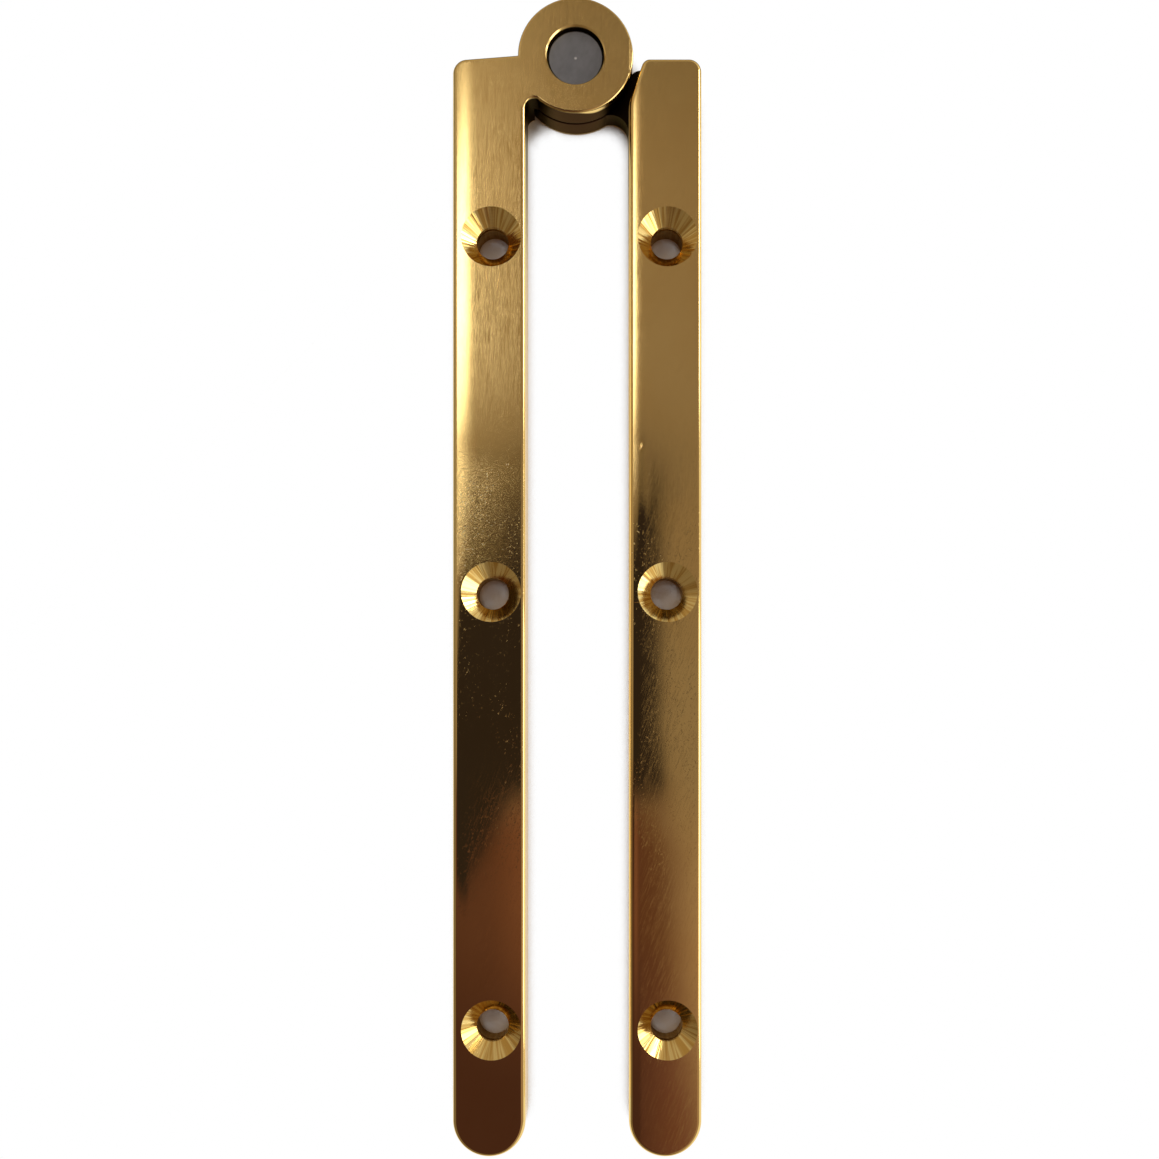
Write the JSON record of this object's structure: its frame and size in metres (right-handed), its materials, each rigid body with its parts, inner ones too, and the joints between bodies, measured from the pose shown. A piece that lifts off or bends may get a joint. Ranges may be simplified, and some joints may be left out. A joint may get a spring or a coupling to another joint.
{
  "type": "scissor hinge",
  "caption": "Lapped scissor hinge of polished brass: two slim round-tipped bars with countersunk screw holes turn side by side on a steel pin through their half-thickness eyes.",
  "frame": {"origin": "on the pin axis, in the plane of the back faces on which the hinge lies", "axes": "+Z along the pin towards the countersunk front, +Y away from the leaves' tips, +X towards the right leaf; at rest the leaves are folded side by side"},
  "size_m": [0.0436, 0.2031, 0.0063],
  "materials": {
    "brass": "polished",
    "pin_steel": "turned, satin"
  },
  "bodies": {
    "left_leaf": {"left_leaf": "brass"},
    "right_leaf": {"right_leaf": "brass", "hinge_pin": "pin_steel"}
  },
  "joints": [
    {"name": "leaf_swing", "type": "hinge", "parent": "left_leaf", "child": "right_leaf", "pos_m": [0, 0, 0.00317], "axis": [0, 0, 1], "range_deg": [-5, 180]}
  ]
}
